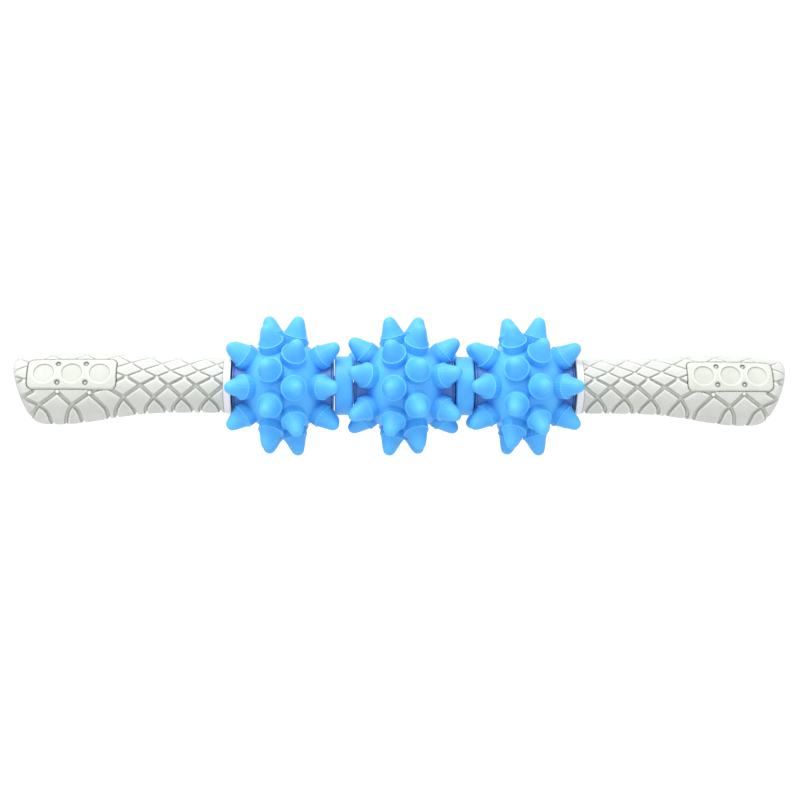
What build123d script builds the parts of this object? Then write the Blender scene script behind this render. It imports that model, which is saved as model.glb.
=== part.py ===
"""Massage roller stick: three spiked rollers and two collars run on a steel tube between two grips.

Millimetres. The origin is the centre of the middle roller, on the tube's axis. +X runs along the
stick, +Z is up, and the thumb plates face -Y. The heavy belly of each grip hangs towards -Z.
"""
import os
from math import cos, radians, sin, sqrt

from build123d import *

# General clearances
running_clearance = 0.05
seat_clearance = 0.1
thrust_gap = 0.5
overrun = 1.0

# Steel tube
shaft_radius = 5.0
shaft_wall = 1.5
shaft_chamfer_width = 0.4

# Roller: a soft spiked skin on a hollow two-part core, with a flanged bush at each end
ball_radius = 23.0
skin_thickness = 3.0
core_wall = 2.2
hub_wall = 2.0
neck_radius = 13.3
neck_web_thickness = 2.0
neck_chamfer_width = 0.6
lip_length = 1.5
lip_thickness = 1.0
core_rib_count = 6
core_rib_thickness = 1.4
bush_wall = 1.5
bush_length = 12.0
bush_flange_rim_width = 1.15
bush_flange_thickness = 0.8

# Spikes: a flared foot, a base, a thin ring and a cone stand on one another
spike_foot_radius = 6.7
spike_flare_height = 1.2
spike_base_radius = 6.25
spike_base_height = 2.9
spike_ring_radius = 6.05
spike_ring_thickness = 0.5
spike_ring_step_width = 0.4
spike_cone_height = 9.23
spike_tip_radius = 2.9
spike_bulge_height = 0.3
inner_row_count = 9
inner_row_angle = 12.9
outer_row_count = 6
outer_row_angle = 49.2

# How far each roller has turned about the tube, in degrees, from where a spike faces -Y
roller_turn_angles = {"left": 2.6, "middle": -18.0, "right": 0.0}

# Collar between two rollers
collar_width = 9.0
collar_step_width = 0.6
collar_edge_radius = 1.2
collar_hub_wall = 3.0
collar_rim_wall = 2.4
collar_web_thickness = 3.0

# Handle core: a flange that shows, and a barrel under the grip
flange_width = 3.5
flange_flare_width = 1.4
flange_step_width = 0.3
flange_spike_gap = 1.33
flange_hollow_depth = 0.35
flange_lip_width = 0.8
barrel_wall = 3.9
barrel_web_thickness = 3.0
barb_height = 2.0
barb_width = 4.0
barb_slope_length = 3.0
key_count = 3
key_height = 1.2
key_width = 2.5
key_margin_length = 8.0

# Screw, washer and threaded plug that draw each core against the tube's end
screw_radius = 2.0
screw_length = 16.0
screw_head_radius = 3.8
screw_head_height = 2.4
screw_slot_width = 1.0
screw_slot_depth = 1.2
washer_radius = 5.0
washer_thickness = 0.8
washer_clearance = 0.6
well_spare_depth = 7.6
plug_length = 20.0

# Grip: round at the neck, swelling to an oval with a belly, cut off aslant at the end
grip_length = 101.2
grip_end_wall = 17.2
grip_neck_radius = 13.6
grip_crown_height = 2.0
grip_belly_depth = 6.0
grip_cheek_width = 1.4
grip_end_slant_angle = 16.0
grip_end_dome_radius = 110.0
grip_end_radius = 3.6
# Each station: share of the length, then shares of the crown's rise, the belly's drop and the swell
grip_station_shares = (
    (0.00, 0.00, 0.00, 0.00),
    (0.18, 0.03, 0.00, 0.02),
    (0.34, 0.25, 0.06, 0.18),
    (0.48, 0.65, 0.30, 0.48),
    (0.62, 0.95, 0.68, 0.80),
    (0.78, 0.88, 1.00, 1.00),
    (0.92, 0.30, 0.86, 0.80),
    (1.08, -0.75, 0.10, 0.10),
)

# Scale pattern of the grip: grooves that cross in columns along it and in rows down its side
groove_width = 2.1
groove_depth = 0.9
groove_margin = 0.9
neck_column_pitch = 6.65
belly_column_pitch = 8.3
neck_column_count = 6
flare_column_count = 2
last_groove_column = 13
groove_runout_count = 2
underside_angle = -90.0
# Each row of crossings: its angle up from the front, in degrees, on the neck and on the belly,
# then how far it leans back towards the neck
groove_rows = (
    (49.5, 54.0, 4.2),
    (30.0, 38.0, 2.3),
    (12.5, 22.0, 1.5),
    (-5.0, 4.0, 0.0),
    (-29.0, -13.0, 0.0),
    (-90.0, -31.0, 0.0),
    (-90.0, -90.0, 0.0),
)

# Thumb plate let into the upper front of the grip
plate_length = 42.8
plate_width = 15.6
plate_end_margin = 6.38
plate_tilt_angle = 24.0
plate_corner_radius = 2.8
plate_proud_height = 0.4
plate_depth = 1.6
plate_gap = 0.35
dimple_count = 3
dimple_pitch = 13.5
dimple_radius = 5.15
dimple_depth = 0.8
vent_radius = 1.35
vent_depth = 1.6
vent_offset_distance = 4.9

# Radii that follow from the fits
shaft_bore_radius = shaft_radius - shaft_wall
bush_bore_radius = shaft_radius + running_clearance
bush_radius = bush_bore_radius + bush_wall
bush_flange_radius = bush_radius + bush_flange_rim_width
hub_bore_radius = bush_radius + seat_clearance
hub_radius = hub_bore_radius + hub_wall
skin_inner_radius = ball_radius - skin_thickness
core_radius = skin_inner_radius - seat_clearance
core_inner_radius = core_radius - core_wall
skin_mouth_radius = neck_radius + seat_clearance
core_bore_radius = shaft_radius + seat_clearance
barrel_radius = core_bore_radius + barrel_wall
barb_radius = barrel_radius + barb_height
barrel_well_radius = washer_radius + washer_clearance
barrel_well_depth = washer_thickness + screw_head_height + well_spare_depth
plug_radius = shaft_bore_radius - seat_clearance
thread_bore_radius = screw_radius + seat_clearance

# Heights along a spike, from the ball's centre
spike_foot_top = sqrt(ball_radius**2 - spike_foot_radius**2)
spike_foot_height = spike_foot_top + spike_flare_height
spike_ring_height = spike_foot_height + spike_base_height
spike_ring_top = spike_ring_height + spike_ring_thickness
spike_tip_height = spike_ring_top + spike_cone_height

# The flanges and collars are a little wider than the grips' necks
flange_grip_radius = grip_neck_radius + flange_step_width
flange_ball_radius = flange_grip_radius + flange_flare_width
collar_radius = flange_ball_radius - collar_step_width

# The outer spikes lean over the flanges, so a roller is as wide as keeps their undersides clear.
# Along the cone its half width falls from the ring to the tip, and its underside rises steadily.
spike_cone_radius = spike_ring_radius - spike_ring_step_width
spike_tip_centre = spike_tip_height - spike_tip_radius
cone_taper = (spike_cone_radius - spike_tip_radius) / (spike_tip_centre - spike_ring_top)
lean_sine = sin(radians(outer_row_angle))
lean_cosine = cos(radians(outer_row_angle))
ring_underside = spike_ring_top * lean_cosine - spike_cone_radius * lean_sine
underside_rise = flange_ball_radius + flange_spike_gap - ring_underside
height_above_ring = underside_rise / (lean_cosine + cone_taper * lean_sine)
cone_half_width = spike_cone_radius - cone_taper * height_above_ring
underside_place = (spike_ring_top + height_above_ring) * lean_sine + cone_half_width * lean_cosine

# Places along the tube
roller_width = 2 * (underside_place - thrust_gap)
collar_place = roller_width / 2 + thrust_gap + collar_width / 2
outer_roller_place = collar_place + collar_width / 2 + thrust_gap + roller_width / 2
flange_place = outer_roller_place + roller_width / 2 + thrust_gap
barrel_place = flange_place + flange_width
grip_place = barrel_place + seat_clearance
barrel_length = grip_length - grip_end_wall
barrel_end = barrel_place + barrel_length
web_place = barrel_end - barrel_well_depth - barrel_web_thickness
shaft_half_length = web_place - seat_clearance
plate_place = grip_place + grip_length - plate_end_margin - plate_length / 2

os.makedirs("parts", exist_ok=True)


def save(piece, name):
    """Label a finished piece and write it as a STEP file of the same name."""
    piece.part.label = name
    export_step(piece.part, f"parts/{name}.step")


def mirrored(piece):
    """The left-hand twin of a right-hand piece."""
    with BuildPart() as twin:
        mirror(piece.part, about=Plane.YZ)
    return twin


def moved_along(piece, place, turn=0):
    """A copy of a piece, slid along the tube and turned about it by an angle in degrees."""
    with BuildPart() as copy:
        with Locations(Location((place, 0, 0), (turn, 0, 0))):
            add(piece.part)
    return copy


def tube_wall(inner, outer, start, end, mode=Mode.ADD):
    """A round wall about the X axis, added to the part being built or cut from it."""
    with BuildSketch(Plane.YZ.offset(start)) as wall:
        Circle(outer)
        if inner > 0:
            Circle(inner, mode=Mode.SUBTRACT)
    extrude(wall.sketch, amount=end - start, mode=mode)


def round_cut(radius, start, end):
    """A round hole about the X axis, cut from the part being built."""
    tube_wall(0, radius, start, end, Mode.SUBTRACT)


def steel_tube():
    """The tube that everything runs on; its ends stop inside the handle cores."""
    with BuildPart() as tube:
        tube_wall(shaft_bore_radius, shaft_radius, -shaft_half_length, shaft_half_length)
        rims = tube.edges().filter_by(GeomType.CIRCLE).group_by(SortBy.RADIUS)[-1]
        chamfer(rims, shaft_chamfer_width)
    return tube


def spike():
    """One spike along +Z: flared foot, thin moulded ring and a slightly convex cone."""
    foot_depth = spike_foot_top - skin_thickness / 2
    with BuildPart() as horn:
        with BuildSketch(Plane.XZ):
            with BuildLine():
                foot = Polyline(
                    (0, foot_depth),
                    (spike_foot_radius, foot_depth),
                    (spike_foot_radius, spike_foot_top),
                )
                flare = RadiusArc(foot @ 1, (spike_base_radius, spike_foot_height), spike_flare_height)
                ring = Polyline(
                    flare @ 1,
                    (spike_ring_radius, spike_ring_height),
                    (spike_ring_radius, spike_ring_top),
                    (spike_cone_radius, spike_ring_top),
                )
                cone = SagittaArc(ring @ 1, (spike_tip_radius, spike_tip_centre), -spike_bulge_height)
                RadiusArc(cone @ 1, (0, spike_tip_height), -spike_tip_radius)
                Line((0, spike_tip_height), (0, foot_depth))
            make_face()
        revolve(axis=Axis.Z)
    return horn


def spike_planes():
    """One plane for each spike of a roller; its normal is the spike's own axis."""
    rows = (
        (inner_row_count, inner_row_angle, 0),
        (inner_row_count, -inner_row_angle, 180 / inner_row_count),
        (outer_row_count, outer_row_angle, 0),
        (outer_row_count, -outer_row_angle, 0),
    )
    planes = []
    for count, latitude, stagger in rows:
        for index in range(count):
            angle = radians(stagger + 360 * index / count)
            reach = cos(radians(latitude))
            direction = (sin(radians(latitude)), -reach * cos(angle), -reach * sin(angle))
            planes.append(Plane(origin=(0, 0, 0), z_dir=direction))
    return planes


def roller_skin():
    """Soft skin with all its spikes, open at both ends where the core's neck comes out."""
    horn = spike()
    with BuildPart() as skin:
        with BuildSketch(Plane.XZ):
            Circle(ball_radius)
            Circle(skin_inner_radius, mode=Mode.SUBTRACT)
            with Locations((0, skin_mouth_radius + ball_radius)):
                Rectangle(2 * ball_radius, 2 * ball_radius, mode=Mode.INTERSECT)
        revolve(axis=Axis.X)
        with Locations(*spike_planes()):
            add(horn.part)
        round_cut(skin_mouth_radius, -spike_tip_height, spike_tip_height)
    return skin


def core_half(has_lip):
    """Right half of a roller's hollow core: a dome, a hollow neck, a hub, ribs and a lip or its seat."""
    neck_end = roller_width / 2 - bush_flange_thickness - seat_clearance
    web_start = neck_end - neck_web_thickness
    lip_radius = core_inner_radius + lip_thickness
    with BuildPart() as star:
        with BuildSketch(Plane.YZ.offset(lip_length + seat_clearance)):
            with PolarLocations(core_inner_radius / 2, core_rib_count):
                Rectangle(core_inner_radius, core_rib_thickness)
        extrude(amount=core_inner_radius)
        Sphere(core_inner_radius + core_wall / 2, mode=Mode.INTERSECT)
    with BuildPart() as half:
        with BuildSketch(Plane.XZ) as section:
            Circle(core_radius)
            Rectangle(2 * neck_end, 2 * neck_radius)
            Circle(core_inner_radius, mode=Mode.SUBTRACT)
            Rectangle(2 * web_start, 2 * (neck_radius - core_wall), mode=Mode.SUBTRACT)
            Rectangle(2 * neck_end, 2 * hub_radius)
            Rectangle(2 * neck_end, 2 * hub_bore_radius, mode=Mode.SUBTRACT)
            with Locations((neck_end, neck_end)):
                Rectangle(2 * neck_end, 2 * neck_end, mode=Mode.INTERSECT)
            rim = section.vertices().group_by(Axis.X)[-1].sort_by(Axis.Y)[-1]
            chamfer(rim, neck_chamfer_width)
        revolve(axis=Axis.X)
        add(star.part)
        round_cut(hub_bore_radius, 0, neck_end)
        if has_lip:
            tube_wall(core_inner_radius, lip_radius, -lip_length, lip_length)
        else:
            seat = lip_radius + seat_clearance
            tube_wall(core_inner_radius - overrun, seat, 0, lip_length + seat_clearance, Mode.SUBTRACT)
    return half


def bush():
    """Right-hand flanged bush of a roller; its flange is the thrust face."""
    face = roller_width / 2
    with BuildPart() as bearing:
        tube_wall(bush_bore_radius, bush_radius, face - bush_length, face)
        tube_wall(bush_bore_radius, bush_flange_radius, face - bush_flange_thickness, face)
    return bearing


def collar():
    """Loose collar between two rollers, cored out on both sides of its web."""
    pocket_depth = (collar_width - collar_web_thickness) / 2
    inner_hub_radius = bush_bore_radius + collar_hub_wall
    rim_radius = collar_radius - collar_rim_wall
    with BuildPart() as ring:
        tube_wall(bush_bore_radius, collar_radius, -collar_width / 2, collar_width / 2)
        rims = ring.edges().filter_by(GeomType.CIRCLE).group_by(SortBy.RADIUS)[-1]
        fillet(rims, collar_edge_radius)
        for start in (-collar_width / 2, collar_width / 2 - pocket_depth):
            with BuildSketch(Plane.YZ.offset(start)):
                Circle(rim_radius)
                Circle(inner_hub_radius, mode=Mode.SUBTRACT)
            extrude(amount=pocket_depth, mode=Mode.SUBTRACT)
    return ring


def barrel_body(growth, mode):
    """The barrel and its barb, turned about the X axis and grown all round by a clearance."""
    radius = barrel_radius + growth
    barb = barb_radius + growth
    barb_start = barrel_end - barb_width - growth
    with BuildSketch(Plane.XZ) as outline:
        with BuildLine():
            Polyline(
                (barrel_place, 0),
                (barrel_place, radius),
                (barb_start - barb_slope_length, radius),
                (barb_start, barb),
                (barrel_end + growth, barb),
                (barrel_end + growth, 0),
                close=True,
            )
        make_face()
    revolve(outline.sketch, axis=Axis.X, mode=mode)


def barrel_keys(growth, mode):
    """Ribs along the barrel that stop the grip from turning on it."""
    length = barrel_length - barb_width - barb_slope_length - 2 * key_margin_length
    top = barrel_radius + key_height + growth
    with BuildSketch(Plane.YZ.offset(barrel_place + key_margin_length - growth)) as keys:
        with PolarLocations(top / 2, key_count, start_angle=90):
            Rectangle(top, key_width + 2 * growth)
    extrude(keys.sketch, amount=length + 2 * growth, mode=mode)


def handle_core():
    """Right-hand core: the flange beside the rollers, and the barrel that the grip is pushed onto."""
    with BuildPart() as core:
        barrel_body(0, Mode.ADD)
        barrel_keys(0, Mode.ADD)
        with BuildSketch(Plane.XZ):
            with BuildLine():
                face = Polyline(
                    (barrel_place, 0),
                    (flange_place, 0),
                    (flange_place, flange_ball_radius),
                    (flange_place + flange_lip_width, flange_ball_radius),
                )
                waist = SagittaArc(face @ 1, (barrel_place, flange_grip_radius), -flange_hollow_depth)
                Line(waist @ 1, (barrel_place, 0))
            make_face()
        revolve(axis=Axis.X)
        round_cut(core_bore_radius, flange_place - overrun, web_place)
        round_cut(thread_bore_radius, web_place - overrun, barrel_end)
        round_cut(barrel_well_radius, web_place + barrel_web_thickness, barrel_end + overrun)
    return core


def grip_form(growth, mode=Mode.ADD):
    """The grip's outer form, lofted through ovals, grown all round by an amount."""
    ovals = []
    for along, crown, belly, cheek in grip_station_shares:
        top = grip_neck_radius + grip_crown_height * crown + growth
        bottom = grip_neck_radius + grip_belly_depth * belly + growth
        half_width = grip_neck_radius + grip_cheek_width * cheek + growth
        with BuildSketch(Plane.YZ.offset(grip_place + grip_length * along)) as oval:
            with Locations((0, (top - bottom) / 2)):
                Ellipse(half_width, (top + bottom) / 2)
        ovals.append(oval.sketch)
    loft(ovals, mode=mode)


def grip_height(along, angle):
    """Height on the grip's side, at a place along it and an angle up from its front, in degrees."""
    stations = grip_station_shares
    share = min(max(along / grip_length, stations[0][0]), stations[-1][0])
    spans = zip(stations, stations[1:])
    before, after = next((low, high) for low, high in spans if share <= high[0])
    mix = (share - before[0]) / (after[0] - before[0])
    crown, belly = (low + mix * (high - low) for low, high in zip(before[1:3], after[1:3]))
    top = grip_neck_radius + grip_crown_height * crown
    bottom = grip_neck_radius + grip_belly_depth * belly
    return (top - bottom) / 2 + (top + bottom) / 2 * sin(radians(angle))


def groove_band(first_column, step):
    """One groove, seen from the front: down from row to row, a column on or back each time."""
    line = []
    for row, (neck_angle, belly_angle, lean) in enumerate(groove_rows):
        column = first_column + step * row
        neck_columns = min(column, neck_column_count)
        belly_columns = max(column - neck_column_count, 0)
        along = groove_margin + neck_column_pitch * neck_columns + belly_column_pitch * belly_columns - lean
        angle = belly_angle if belly_columns > flare_column_count else neck_angle
        line.append(Vector(grip_place + along, grip_height(along, angle)))
        if angle == underside_angle:
            break
    above = line[0] + (line[0] - line[1]) * groove_runout_count
    below = line[-1] + (line[-1] - line[-2])
    half_width = Vector(0, groove_width / 2)
    upper = [point + half_width for point in (above, *line, below)]
    lower = [point - half_width for point in (below, *reversed(line), above)]
    Polygon(*upper, *lower, align=None)


def grip_grooves():
    """Both families of grooves: bands seen from the front, kept outside the grooves' floor."""
    row_steps = len(groove_rows) - 2
    with BuildPart() as lattice:
        with BuildSketch(Plane.XZ):
            for column in range(-row_steps, last_groove_column + 1, 2):
                groove_band(column, 1)
            for column in range(1, last_groove_column + row_steps, 2):
                groove_band(column, -1)
        extrude(amount=grip_neck_radius + grip_belly_depth, both=True)
        grip_form(-groove_depth, Mode.SUBTRACT)
    return lattice


def plate_plane():
    """Plane through the tube's axis whose normal points out through the middle of the plate."""
    normal = (0, -cos(radians(plate_tilt_angle)), sin(radians(plate_tilt_angle)))
    return Plane(origin=(plate_place, 0, 0), x_dir=(1, 0, 0), z_dir=normal)


def plate_prism(growth, mode):
    """A block with the plate's outline, from the tube's axis out past the grip."""
    with BuildSketch(plate_plane()) as outline:
        RectangleRounded(plate_length + 2 * growth, plate_width + 2 * growth, plate_corner_radius + growth)
    extrude(outline.sketch, amount=grip_neck_radius + grip_belly_depth, mode=mode)


def grip():
    """Right-hand soft grip: a grooved sleeve over the barrel, with a pocket for the thumb plate."""
    with BuildPart() as pocket:
        plate_prism(plate_gap, Mode.ADD)
        grip_form(-plate_depth - seat_clearance, Mode.SUBTRACT)
    slant = radians(grip_end_slant_angle)
    dome_centre = (
        grip_place + grip_length - grip_end_dome_radius * cos(slant),
        0,
        grip_end_dome_radius * sin(slant),
    )
    with BuildPart() as sleeve:
        grip_form(0)
        with Locations(dome_centre):
            Sphere(grip_end_dome_radius, mode=Mode.INTERSECT)
        fillet(sleeve.faces().sort_by(Axis.X)[-1].edges(), grip_end_radius)
        barrel_body(seat_clearance, Mode.SUBTRACT)
        barrel_keys(seat_clearance, Mode.SUBTRACT)
        add(grip_grooves().part, mode=Mode.SUBTRACT)
        add(pocket.part, mode=Mode.SUBTRACT)
    return sleeve


def outer_height(piece, plane):
    """Distance from a plane to the outermost point of a piece that lies on the plane's normal."""
    hits = piece.part.find_intersection_points(Axis(plane.origin, plane.z_dir))
    return max(plane.to_local_coords(point).Z for point, normal in hits)


def thumb_plate():
    """Right-hand thumb plate, with round dimples and two small blind holes between each pair."""
    plane = plate_plane()
    ball = (dimple_radius**2 + dimple_depth**2) / (2 * dimple_depth)
    with BuildPart() as plate:
        grip_form(plate_proud_height)
        plate_prism(0, Mode.INTERSECT)
        grip_form(-plate_depth, Mode.SUBTRACT)
        surface = outer_height(plate, plane)
        with Locations(plane.offset(surface + ball - dimple_depth)):
            with GridLocations(dimple_pitch, dimple_pitch, dimple_count, 1):
                Sphere(ball, mode=Mode.SUBTRACT)
        with BuildSketch(plane.offset(surface - vent_depth)):
            with GridLocations(dimple_pitch, 2 * vent_offset_distance, dimple_count - 1, 2):
                Circle(vent_radius)
        extrude(amount=vent_depth + plate_proud_height, mode=Mode.SUBTRACT)
    return plate


def threaded_plug():
    """Right-hand plug, fixed in the tube's end and tapped for the screw."""
    with BuildPart() as plug:
        tube_wall(thread_bore_radius, plug_radius, shaft_half_length - plug_length, shaft_half_length)
    return plug


def washer():
    """Right-hand washer under the screw's head."""
    start = web_place + barrel_web_thickness
    with BuildPart() as disc:
        tube_wall(thread_bore_radius, washer_radius, start, start + washer_thickness)
    return disc


def end_screw():
    """Right-hand screw: it draws the core against the tube."""
    head = web_place + barrel_web_thickness + washer_thickness
    with BuildPart() as screw:
        tube_wall(0, screw_radius, head - screw_length, head)
        tube_wall(0, screw_head_radius, head, head + screw_head_height)
        with BuildSketch(Plane.YZ.offset(head + screw_head_height - screw_slot_depth)):
            Rectangle(screw_slot_width, 2 * screw_head_radius)
            Rectangle(2 * screw_head_radius, screw_slot_width)
        extrude(amount=screw_slot_depth, mode=Mode.SUBTRACT)
    return screw


save(steel_tube(), "shaft_tube")

skin = roller_skin()
core_right = core_half(has_lip=False)
core_left = mirrored(core_half(has_lip=True))
bush_right = bush()
bush_left = mirrored(bush_right)
roller_places = {"left": -outer_roller_place, "middle": 0, "right": outer_roller_place}
for name, place in roller_places.items():
    save(moved_along(skin, place, roller_turn_angles[name]), f"{name}_roller_skin")
    save(moved_along(core_left, place), f"{name}_roller_core_left")
    save(moved_along(core_right, place), f"{name}_roller_core_right")
    save(moved_along(bush_left, place), f"{name}_roller_bush_left")
    save(moved_along(bush_right, place), f"{name}_roller_bush_right")

ring = collar()
save(moved_along(ring, -collar_place), "left_collar")
save(moved_along(ring, collar_place), "right_collar")

handle_pieces = {
    "handle_core": handle_core(),
    "grip": grip(),
    "thumb_plate": thumb_plate(),
    "threaded_plug": threaded_plug(),
    "screw_washer": washer(),
    "end_screw": end_screw(),
}
for name, piece in handle_pieces.items():
    save(piece, f"right_{name}")
    save(mirrored(piece), f"left_{name}")

print("overall length", 2 * (grip_place + grip_length), "mm, over the slanted ends")
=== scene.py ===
# %% [markdown]
# A massage roller stick: three spiked rollers and two loose collars run on a steel tube between
# two soft grips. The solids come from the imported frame. This script dresses them: it makes finer
# meshes for the soft moulded pieces, gives every piece a finish, and sets up a small photo studio.
# Everything is in metres, in the frame of the solids, with +X along the stick and +Z up.

import bmesh
import bpy
import numpy as np
from mathutils import Matrix, Vector


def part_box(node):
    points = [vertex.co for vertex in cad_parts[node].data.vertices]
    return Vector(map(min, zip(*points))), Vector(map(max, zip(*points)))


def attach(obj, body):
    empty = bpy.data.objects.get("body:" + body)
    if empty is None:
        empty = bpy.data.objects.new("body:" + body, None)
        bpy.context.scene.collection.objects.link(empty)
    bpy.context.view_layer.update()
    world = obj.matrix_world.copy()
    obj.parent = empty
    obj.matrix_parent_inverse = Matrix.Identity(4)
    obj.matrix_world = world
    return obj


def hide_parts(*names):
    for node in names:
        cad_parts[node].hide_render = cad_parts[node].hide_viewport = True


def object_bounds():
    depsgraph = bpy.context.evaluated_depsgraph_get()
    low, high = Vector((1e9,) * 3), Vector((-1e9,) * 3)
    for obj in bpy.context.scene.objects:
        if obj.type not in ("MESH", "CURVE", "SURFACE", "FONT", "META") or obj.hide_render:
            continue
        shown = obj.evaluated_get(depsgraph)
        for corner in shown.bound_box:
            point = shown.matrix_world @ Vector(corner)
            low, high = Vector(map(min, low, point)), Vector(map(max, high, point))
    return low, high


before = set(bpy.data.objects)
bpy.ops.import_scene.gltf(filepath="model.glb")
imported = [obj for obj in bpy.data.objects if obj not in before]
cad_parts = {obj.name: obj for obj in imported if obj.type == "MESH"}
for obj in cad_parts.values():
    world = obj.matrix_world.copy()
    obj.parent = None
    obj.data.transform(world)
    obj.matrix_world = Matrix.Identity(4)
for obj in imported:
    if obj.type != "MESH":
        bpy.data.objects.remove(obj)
cad_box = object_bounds()
MM = 0.001

# %% [markdown]
# The picture is taken from the front with a moderate lens, a little left of the middle and turned
# slightly right, so the left grip looks a few percent larger than the right one. The lens sits at
# the height of the tube. The small shifts frame the stick where it lies in the picture.

# %% Camera
camera_data = bpy.data.cameras.new("studio_camera")
camera_data.lens = 67.0
camera_data.sensor_width = 36.0
camera_data.shift_x = -0.0312
camera_data.shift_y = -0.0175
camera_data.clip_end = 50
camera = bpy.data.objects.new("studio_camera", camera_data)
bpy.context.scene.collection.objects.link(camera)
camera_place = Vector((-0.0285, -0.747, 0.0))
camera_turn = np.radians(3.0)
camera_roll = np.radians(0.2)
camera.rotation_mode = "QUATERNION"
look = Vector((np.sin(camera_turn), np.cos(camera_turn), 0.0))
level = look.to_track_quat("-Z", "Y").to_matrix()
roll = Matrix.Rotation(camera_roll, 3, "Z")
camera.rotation_quaternion = (level @ roll).to_quaternion()
camera.location = camera_place
bpy.context.scene.camera = camera
print("camera", tuple(round(v, 4) for v in camera.location))

# %% [markdown]
# The studio is a white table that runs out of sight, a bright room that grows brighter towards its
# ceiling, and one large soft lamp above and in front. The standard view keeps white truly white,
# as in a catalogue picture.

# %% Floor, room and lamp
scene = bpy.context.scene
scene.view_settings.view_transform = "Standard"
floor_height = cad_box[0].z - 0.0002
floor_mesh = bpy.data.meshes.new("studio_floor")
reach = 6.0
floor_mesh.from_pydata(
    [(-reach, -reach, floor_height), (reach, -reach, floor_height),
     (reach, reach, floor_height), (-reach, reach, floor_height)],
    [],
    [(0, 1, 2, 3)],
)
floor = bpy.data.objects.new("studio_floor", floor_mesh)
scene.collection.objects.link(floor)
white_floor = bpy.data.materials.new("white_floor")
white_floor.use_nodes = True
floor_shader = white_floor.node_tree.nodes["Principled BSDF"]
floor_shader.inputs["Base Color"].default_value = (0.15, 0.15, 0.15, 1.0)
floor_shader.inputs["Roughness"].default_value = 1.0
floor_shader.inputs["Specular IOR Level"].default_value = 0.0
floor_shader.inputs["Emission Color"].default_value = (1.0, 1.0, 1.0, 1.0)
floor_shader.inputs["Emission Strength"].default_value = 0.92
floor_mesh.materials.append(white_floor)

room = bpy.data.worlds.new("studio_room")
scene.world = room
room.use_nodes = True
sky = room.node_tree.nodes["Background"]
sky.inputs["Color"].default_value = (1.0, 1.0, 1.0, 1.0)
around_us = room.node_tree.nodes.new("ShaderNodeTexCoord")
apart = room.node_tree.nodes.new("ShaderNodeSeparateXYZ")
rise = room.node_tree.nodes.new("ShaderNodeMapRange")
rise.inputs["From Min"].default_value = 0.05
rise.inputs["From Max"].default_value = 0.9
rise.inputs["To Min"].default_value = 1.02
rise.inputs["To Max"].default_value = 1.22
room.node_tree.links.new(around_us.outputs["Generated"], apart.inputs[0])
room.node_tree.links.new(apart.outputs["Z"], rise.inputs["Value"])
room.node_tree.links.new(rise.outputs[0], sky.inputs["Strength"])


def soft_lamp(name, place, size, power):
    """A large square lamp that faces the middle of the stick."""
    lamp_data = bpy.data.lights.new(name, "AREA")
    lamp_data.size = size
    lamp_data.energy = power
    lamp = bpy.data.objects.new(name, lamp_data)
    lamp.location = place
    lamp.rotation_mode = "QUATERNION"
    lamp.rotation_quaternion = (-Vector(place)).to_track_quat("-Z", "Y")
    scene.collection.objects.link(lamp)


soft_lamp("lamp_above", (-0.25, -0.55, 0.95), 0.7, 9.0)
print("floor at", round(floor_height / MM, 2), "mm")

# %% [markdown]
# A finish is a material with its nodes. Shader sums are written as plain sums: a Wire holds an
# output socket, and each sign between Wires or numbers adds the Math node that does it.


# %% Wires and finishes
class Wire:
    """An output socket of a finish. Plain signs between wires and numbers add Math nodes."""

    def __init__(self, finish, socket):
        self.finish = finish
        self.socket = socket

    def sum(self, operation, first, second):
        return self.finish.node("ShaderNodeMath", {"operation": operation}, {0: first, 1: second})

    def __add__(self, other):
        return self.sum("ADD", self, other)

    def __radd__(self, other):
        return self.sum("ADD", other, self)

    def __sub__(self, other):
        return self.sum("SUBTRACT", self, other)

    def __rsub__(self, other):
        return self.sum("SUBTRACT", other, self)

    def __mul__(self, other):
        return self.sum("MULTIPLY", self, other)

    def __rmul__(self, other):
        return self.sum("MULTIPLY", other, self)


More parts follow.
